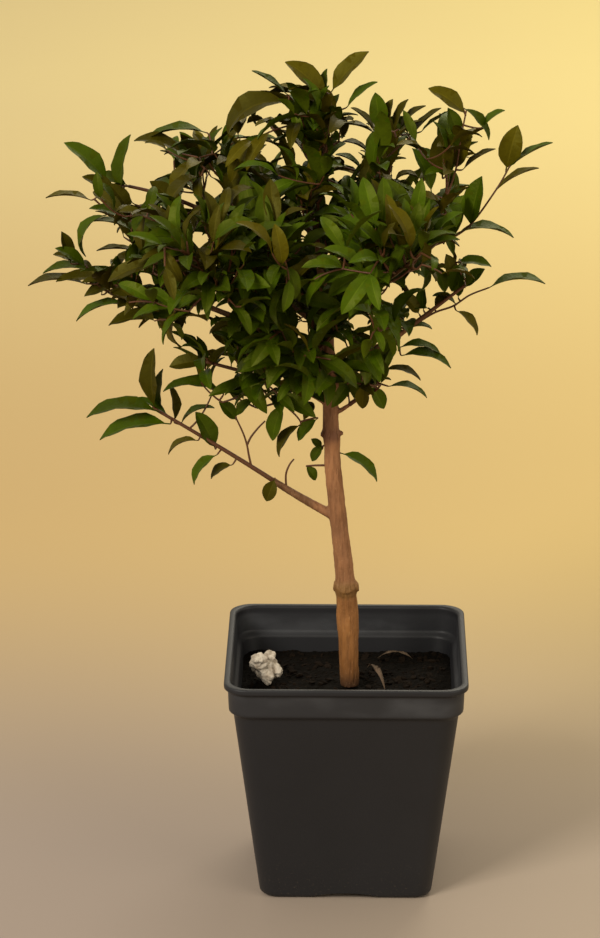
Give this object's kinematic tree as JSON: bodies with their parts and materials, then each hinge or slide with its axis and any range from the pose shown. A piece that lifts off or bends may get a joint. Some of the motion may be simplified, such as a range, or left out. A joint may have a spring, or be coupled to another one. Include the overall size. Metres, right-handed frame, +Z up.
{
  "type": "potted bonsai tree",
  "caption": "Young evergreen bonsai with a slender leaning trunk and a broad open crown of glossy lance-shaped leaves, grown in a tapered square black nursery pot.",
  "frame": {"origin": "centre of the pot's flat underside", "axes": "+Z up along the plant; +X to the right and -Y towards the viewer when the low bough points left"},
  "size_m": [0.2343, 0.1985, 0.4008],
  "materials": {
    "pot_plastic": "satin",
    "potting_mix": "rough, crumbly",
    "white_grit": "rough",
    "bark": "matt bark",
    "foliage": "glossy leaves"
  },
  "bodies": {
    "root": {"pot": "pot_plastic", "soil": "potting_mix", "grit_lump": "white_grit", "trunk": "bark", "top_bough": "bark", "low_left_bough": "bark", "low_right_bough": "bark", "under_left_bough": "bark", "left_bough": "bark", "right_bough": "bark", "front_low_bough": "bark", "back_low_bough": "bark", "upper_left_bough": "bark", "upper_right_bough": "bark", "front_left_bough": "bark", "front_right_bough": "bark", "back_left_bough": "bark", "back_right_bough": "bark", "low_left_foliage": "foliage", "low_right_foliage": "foliage", "under_left_foliage": "foliage", "left_foliage": "foliage", "upper_left_foliage": "foliage", "top_foliage": "foliage", "upper_right_foliage": "foliage", "right_foliage": "foliage", "front_left_foliage": "foliage", "front_right_foliage": "foliage", "front_low_foliage": "foliage", "back_left_foliage": "foliage", "back_right_foliage": "foliage", "back_low_foliage": "foliage", "right_sprout": "foliage", "left_sprout": "foliage"}
  },
  "joints": []
}
